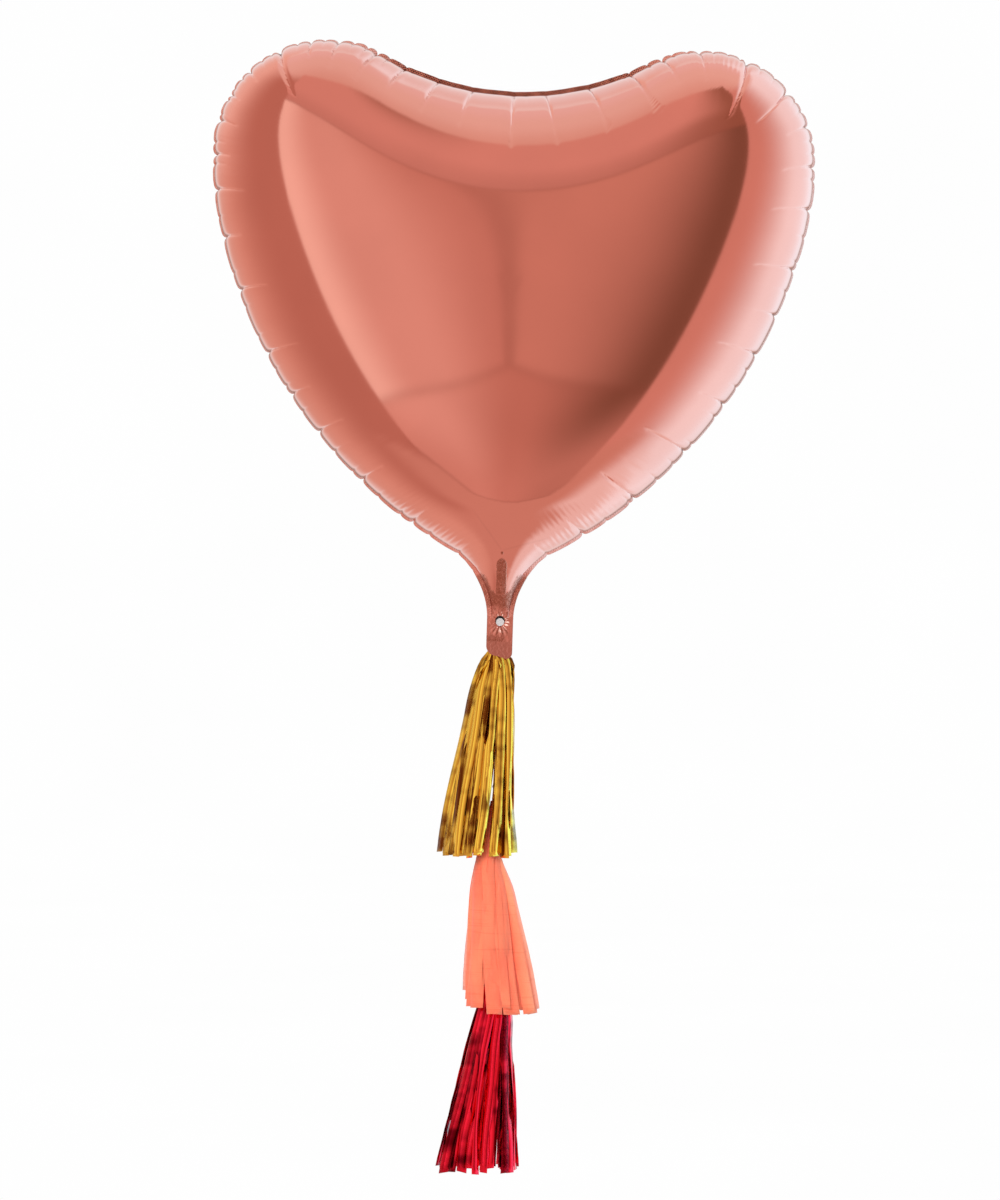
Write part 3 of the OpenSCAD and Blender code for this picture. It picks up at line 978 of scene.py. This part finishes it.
def twisted_head(name, node_name, body, slot_name, material, level):
    """The eye is a ring of three twisted plies: its radius follows the cosine of three times
    the angle round the wire, less the twist. The neck carries the same ridges in a spiral."""
    eye_rows, eye_columns, neck_rows, neck_columns = 72, 24, 41, 48
    along = np.linspace(0, 2 * np.pi, eye_rows + 1)[:-1][:, None]
    round_wire = np.linspace(0, 2 * np.pi, eye_columns + 1)[:-1][None]
    r = wire_r * (0.88 + 0.12 * np.cos(3 * round_wire + 9 * along))
    ring = eye_r + r * np.cos(round_wire)
    eye = np.stack([r * np.sin(round_wire), ring * np.sin(along), ring * np.cos(along) - eye_middle],
                   -1).reshape(-1, 3)
    down = np.linspace(0, 1, neck_rows)[:, None]
    turn = np.linspace(0, 2 * np.pi, neck_columns + 1)[:-1][None]
    radius = neck_r * (0.90 + 0.10 * np.cos(7 * turn + 7 * down)) * np.minimum(1, 0.45 + 6 * down)
    neck = np.stack([radius * np.cos(turn), radius * np.sin(turn),
                     0 * turn - (neck_end - neck_l) - neck_l * down], -1).reshape(-1, 3)
    tube = grid_faces(neck_rows, neck_columns, ring_columns=True) + len(eye)
    faces = np.vstack([grid_faces(eye_rows, eye_columns, True, True), tube])[:, ::-1].tolist()
    top = len(eye) + np.arange(neck_columns)
    faces += [top.tolist(), (top + (neck_rows - 1) * neck_columns)[::-1].tolist()]
    points = np.vstack([eye, neck]) + [hang_x, hang_y, hang_z - level]
    made = mesh_piece(name, points, faces, material, strip=np.full(len(points), 0.37),
                      down=points[:, 2] * 4)
    fitted(made, body, node_name)


def wrapped_band(name, node_name, body, slot_name, material, level):
    """Two and a half turns of tape round the neck: radius grows evenly along a spiral, and
    the tape's two edges are drawn in a little."""
    turns, snug, thick, edge = 2.5, 0.00004, 0.00032, 0.0008
    a = np.linspace(0, 2 * np.pi * turns, 151)
    radius = neck_r + snug + thick * a / a[-1]
    drawn_in = np.array([0.00008, 0.0, 0.0, 0.00008])
    z = np.array([edge, edge + 0.0006, neck_l - edge - 0.0006, neck_l - edge])
    reach = radius[:, None] - drawn_in
    outer = np.stack([reach * np.cos(a)[:, None], reach * np.sin(a)[:, None],
                      np.repeat(-(neck_end - neck_l) - z[None], len(a), 0)], -1)
    points = outer.reshape(-1, 3) + [hang_x, hang_y, hang_z - level]
    made = mesh_piece(name, points, grid_faces(len(a), len(z)).tolist(), material,
                      strip=np.full(len(points), 0.61), down=points[:, 2] * 2)
    walled(made, 0.0001)
    fitted(made, body, node_name)


def fringe(name, node_name, body, slot_name, material, level, clear, reach, count, width, seed,
           stray=0.005, twirl=1.0, uneven=0.010, short_left=0.0, crease=0.0004):
    """Strips that hang from the neck. Each is a ribbon along a path on an oval that grows
    with the drop: middle + share * (reach across * cos, reach deep * sin), with its own
    twist, wave, creases and length, in three layers from the outside in. reach is how far the
    fringe goes to the left, right and front, in millimetres, where it comes clear of what is
    above it, a knee further down, and at its tips."""
    rng = np.random.default_rng(seed)
    rows, columns = 30, 3
    levels = np.array([neck_end, clear, clear + knee, tassel_l])
    left, right, deep = (np.array([0.0034, *(row[k] / 1000 for row in reach)]) for k in range(3))
    order = rng.permutation(count)
    outer, middle_layer = rng.uniform(0.87, 1.0, count), rng.uniform(0.62, 0.80, count)
    share = np.select([order < 0.44 * count, order < 0.80 * count], [outer, middle_layer],
                      rng.uniform(0.3, 0.55, count))
    angle = 2 * np.pi * (order * 0.618034 % 1 + rng.normal(0, 0.012, count))
    leftness = np.clip(-np.cos(angle), 0, 1)
    ends = tassel_l - rng.uniform(0, uneven, count) - short_left * leftness ** 3
    t = np.linspace(0, 1, rows)[None]
    drop = neck_end + t * (ends[:, None] - neck_end)
    fine = np.linspace(neck_end, tassel_l, 120)
    kernel = np.hanning(21) / np.hanning(21).sum()
    rounded = [np.convolve(np.pad(np.interp(fine, levels, side), 10, mode="edge"), kernel, mode="valid")
               for side in (left, right, deep)]
    to_left, to_right, half_deep = (np.interp(drop, fine, side) for side in rounded)
    half_across, middle = (to_left + to_right) / 2, (to_right - to_left) / 2
    wander, splay = rng.normal(0, 0.16, (count, 1)), rng.normal(0, 0.30, (count, 1))
    angle = angle[:, None] + wander * t + splay * (1 - t) ** 6
    swing = np.sin(2 * np.pi * (t * rng.uniform(0.6, 1.6, (count, 1)) + rng.uniform(0, 1, (count, 1))))
    # Below the tassel above, the inner layers spread out towards the outer one.
    spread = np.clip((drop - spread_from) / spread_over, 0, 1)
    layer = share[:, None] + np.clip(spread_layer - share[:, None], 0, 1) * spread
    grow = t ** 1.2
    x = middle + layer * (half_across - width * 0.42) * np.cos(angle) + stray * 0.35 * swing * grow
    y = layer * (half_deep - 0.0006 - width * 0.15) * np.sin(angle)
    y += stray * 0.3 * np.roll(swing, 3, 0) * grow * (half_deep / 0.03)
    radial = np.arctan2(np.sin(angle) * half_across, np.cos(angle) * half_deep * 0.6)
    twist = twirl * (rng.normal(0, 0.26, (count, 1)) + rng.normal(0, 0.30, (count, 1)) * t)
    turns = t * rng.uniform(0.8, 2.2, (count, 1)) + rng.uniform(0, 1, (count, 1))
    twist += twirl * 0.30 * np.sin(2 * np.pi * turns) * t
    flatten = np.clip((half_deep - 0.003) / 0.012, 0.04, 1)
    turn = radial + twist * flatten
    wide = np.stack([-np.sin(turn), np.cos(turn) * flatten, 0 * turn], -1)
    wide /= np.linalg.norm(wide, axis=-1)[..., None]
    facing = np.stack([wide[..., 1], -wide[..., 0], 0 * turn], -1)
    gather = np.clip(0.30 + 0.70 * (drop - neck_end) / 0.018, 0, 1)
    half_width = 0.5 * width * gather * rng.uniform(0.85, 1.1, (count, 1))
    fold = np.zeros((count, rows))
    for _ in range(3):
        spacing = rng.uniform(0.012, 0.05, (count, 1))
        saw = np.abs(((drop + rng.uniform(0, 0.05, (count, 1))) / spacing) % 1 - 0.5) * 2
        fold += crease * rng.uniform(0.3, 1, (count, 1)) * saw * flatten
    cup = rng.normal(0, 0.07, (count, 1)) * half_width * flatten
    across = np.array([-1.0, 0.0, 1.0])
    sideways = half_width[..., None] * across
    bulge = fold[..., None] + cup[..., None] * (1 - across ** 2)
    points = np.stack([x, y, -drop], -1)[:, :, None] + wide[:, :, None] * sideways[..., None] \
        + facing[:, :, None] * bulge[..., None]
    points[..., 2] += rng.normal(0, 0.0006, (count, 1, 1)) * across * t[..., None] ** 8
    points = points.reshape(-1, 3) + [hang_x, hang_y, hang_z - level]
    first = np.arange(count)[:, None, None] * rows * columns
    faces = (first + grid_faces(rows, columns)).reshape(-1, 4).tolist()
    made = mesh_piece(name, points, faces, material,
                      strip=np.repeat(rng.uniform(0, 1, count), rows * columns),
                      down=np.repeat(drop.ravel(), columns))
    walled(made, 0.00012, offset=0)
    fitted(made, body, node_name)
    return made


gold_film = strip_foil("gold_film", (0.17, 0.045, 0.006), (0.96, 0.59, 0.075), 22)
coral_paper = strip_tissue("coral_tissue_paper", (1.0, 0.125, 0.06), (1.0, 0.20, 0.095))
red_film = strip_foil("red_film", (0.13, 0.001, 0.006), (0.98, 0.018, 0.050), 24)
nest = tassel_l - pitch
tassels = [
    ("gold", "gold_foil", gold_film, 0.038, [[19, 24, 3.2], [34, 26, 15], [77, 26, 46]],
     38, 0.0118, 21, {}),
    ("coral", "coral_tissue", coral_paper, nest, [[28, 11, 26], [36, 28, 32], [51, 62, 46]],
     34, 0.0175, 34, {"uneven": 0.012, "short_left": 0.030, "crease": 0.0002, "twirl": 0.45,
                      "stray": 0.003}),
    ("red", "red_foil", red_film, nest, [[27, 26, 24], [38, 25, 32], [76, 34, 42]],
     38, 0.0112, 47, {}),
]
for i, (colour, slot_name, film, clear, reach, count, width, seed, more) in enumerate(tassels):
    shared = (colour + "_tassel", slot_name, film, i * pitch)
    twisted_head(colour + "_twisted_head", colour + "_head", *shared)
    wrapped_band(colour + "_wrapped_band", colour + "_band", *shared)
    strips = fringe(colour + "_strips", colour + "_fringe", *shared, clear, reach, count, width, seed,
                    **more)


# ---- Studio ----
# A pale room: soft light all round, and a warm corner of the room in front that the foil
# mirrors. A plain pale floor and wall show to the camera only.
warm_below = (0.76, 0.575, 0.50)
edge_shade = (0.30, 0.17, 0.13)
corner_half = 45.0                 # the mirrored corner of the room ends this far to each side
corner_top = 66.0


def room_around(azimuth, level, over, back):
    """Outside the corner: warm beside it, white further round, whitest on the right. Angles
    are in degrees: azimuth from straight in front, level from the horizon, and over from the
    front across the top. back is 1 straight behind."""
    spread = calc(azimuth.id_data, "ABSOLUTE", azimuth)
    left_far = mix(step(level, -4, 24), (0.88, 0.73, 0.64), (1.03, 1.02, 0.95))
    left = mix(step(spread, 62, 128), (0.62, 0.405, 0.34), left_far)
    right = mix(step(spread, 50, 104), (0.80, 0.58, 0.52), (1.16, 1.82, 2.10))
    right = mix(step(level, -41, -53), right, (1.04, 1.30, 1.38))
    tone = mix(step(azimuth, -0.6, 0.6), left, right)
    tone = mix(step(spread, 138, 166), tone, (1.02, 1.20, 1.24))
    tone = mix(step(back, 0.88, 0.985), tone, (0.50, 0.33, 0.275))
    above = mix(step(over, 58, 90), (0.88, 0.78, 0.70), (0.99, 1.08, 1.05))
    above = mix(step(over, 90, 108), above, (1.02, 1.13, 1.17))
    above = mix(step(over, 111.5, 114), above, (1.06, 1.42, 1.50))
    tone = mix(step(level, 56, 66), tone, above)
    tone = mix(times(flipped(step(spread, 52, 80)), flipped(step(level, -42, -38))), tone, warm_below)
    return mix(flipped(step(level, -68, -58)), tone, warm_below)


def room_corner(azimuth, level):
    """Two walls that meet straight ahead, a ceiling and a floor, with shaded edges between:
    the ceiling's line rises to the left, and the floor's falls away to both sides."""
    tree = azimuth.id_data
    spread = calc(tree, "ABSOLUTE", azimuth)
    left_wall = mix(step(spread, 0, 17), (0.72, 0.50, 0.43), (0.90, 0.76, 0.69))
    left_wall = mix(step(spread, 25, 43), left_wall, (1.13, 1.20, 1.13))
    right_wall = mix(step(spread, 4, 40), (0.75, 0.54, 0.46), (0.27, 0.18, 0.13))
    walls = mix(step(azimuth, -0.6, 0.6), left_wall, right_wall)

    over_line = minus(level, scaled(largest(times(azimuth, -1), 0), 0.22, 34))
    ceiling = mix(step(azimuth, 4, 40), (0.84, 0.63, 0.57), (0.40, 0.26, 0.19))
    ceiling = mix(step(over_line, 12, 0), ceiling, mix(0.20, ceiling, (0.30, 0.18, 0.14)))
    dim = times(step(level, 49, 41), step(azimuth, -5, 22))
    ceiling = mix(times(dim, 0.55), ceiling, (0.36, 0.22, 0.155))

    under_line = minus(level, scaled(spread, -0.40, -11))
    floor = mix(step(azimuth, -24, 3), (0.94, 0.80, 0.73), (0.66, 0.44, 0.37))
    floor = mix(step(azimuth, 3, 36), floor, (0.26, 0.17, 0.12))
    floor = mix(times(step(level, -24, -42), 0.75), floor, (0.76, 0.54, 0.47))

    tone = mix(step(over_line, -0.7, 0.7), walls, ceiling)
    tone = mix(step(under_line, -0.9, 0.9), floor, tone)
    edges = largest(within(over_line, -0.5, 0.5, 0.7), within(under_line, -0.6, 0.6, 0.9))
    on_wall = times(calc(tree, "LESS_THAN", over_line, 0), calc(tree, "GREATER_THAN", under_line, 0))
    upright = times(within(azimuth, -1.0, 1.0, 1.0), on_wall)
    return mix(times(largest(edges, times(upright, 1.3), clamp=True), 0.34), tone, edge_shade)


def studio_world():
    """Light by direction: the corner of the room in front, and the rest round it."""
    world = bpy.data.worlds.new("studio")
    world.use_nodes = True
    tree = world.node_tree
    degree = 180 / math.pi
    way = node(tree, "ShaderNodeTexCoord").outputs["Generated"]
    x, y, z = node(tree, "ShaderNodeSeparateXYZ", {0: way}).outputs
    front = times(y, -1)
    azimuth = times(calc(tree, "ARCTAN2", x, front), degree)
    level = times(calc(tree, "ARCSINE", z), degree)
    over = times(calc(tree, "ARCTAN2", z, front), degree)

    sill_line = scaled(squared(minus(azimuth, 12)), 0.0045, -53)
    in_corner = times(within(azimuth, -corner_half - 0.5, corner_half, 1.0),
                      within(level, sill_line, corner_top, 1.6))
    lit = mix(in_corner, room_around(azimuth, level, over, y), room_corner(azimuth, level))
    sill = times(within(minus(level, sill_line), -0.9, 0.9, 1.2),
                 within(azimuth, -corner_half - 1, corner_half + 1, 4))
    lit = mix(times(sill, 0.32), lit, edge_shade)
    seen = mix(node(tree, "ShaderNodeLightPath").outputs["Is Camera Ray"], lit, (1, 1, 1))
    plug(tree.nodes["Background"], {"Color": seen, "Strength": 1})
    bpy.context.scene.world = world


studio_world()


def soft_lamp(name, place, size, power):
    """A large soft lamp that faces the object and isn't itself mirrored."""
    data = bpy.data.lights.new(name, "AREA")
    data.size = size
    data.energy = power
    lamp = bpy.data.objects.new(name, data)
    lamp.location = place
    away = -np.array(place)
    lamp.rotation_euler = (math.acos(-away[2] / np.linalg.norm(away)), 0,
                           math.atan2(away[1], away[0]) - math.pi / 2)
    lamp.visible_glossy = lamp.visible_camera = False
    bpy.context.scene.collection.objects.link(lamp)


soft_lamp("key_lamp", (-1.2, -3.4, 1.0), 2.0, 130)
soft_lamp("back_lamp", (1.8, 3.0, 1.2), 2.0, 70)


def stage_bowl():
    """A round floor that curves up into a wall: radius over height, turned about the vertical."""
    turn = np.linspace(0, 2 * np.pi, 97)[:-1]
    arc = np.linspace(0, np.pi / 2, 13)
    floor_r, curve_r, wall_h = 6.0, 1.5, 4.0
    floor_z = cad_box[0][2] - 0.03
    radius = np.r_[0.001, floor_r * 0.4, floor_r * 0.8, floor_r + curve_r * np.sin(arc),
                   floor_r + curve_r]
    height = np.r_[0, 0, 0, curve_r * (1 - np.cos(arc)), wall_h] + floor_z
    r, a = np.meshgrid(radius, turn, indexing="ij")
    points = np.column_stack([(r * np.cos(a)).ravel(), (r * np.sin(a)).ravel(),
                              np.repeat(height, len(turn))])
    material, tree, shader = new_material("pale_studio")
    tone = mix(noise(object_place(tree), 2, 2), (0.985, 0.985, 0.985), (1, 1, 1))
    glow = node(tree, "ShaderNodeEmission", {"Color": tone})
    plug(tree.nodes["Material Output"], {"Surface": glow.outputs[0]})
    tree.nodes.remove(shader)
    faces = grid_faces(len(radius), len(turn), ring_columns=True).tolist()
    made = mesh_piece("studio_floor", points, faces, material)
    made.visible_glossy = made.visible_diffuse = False
    made.visible_transmission = made.visible_shadow = False


stage_bowl()
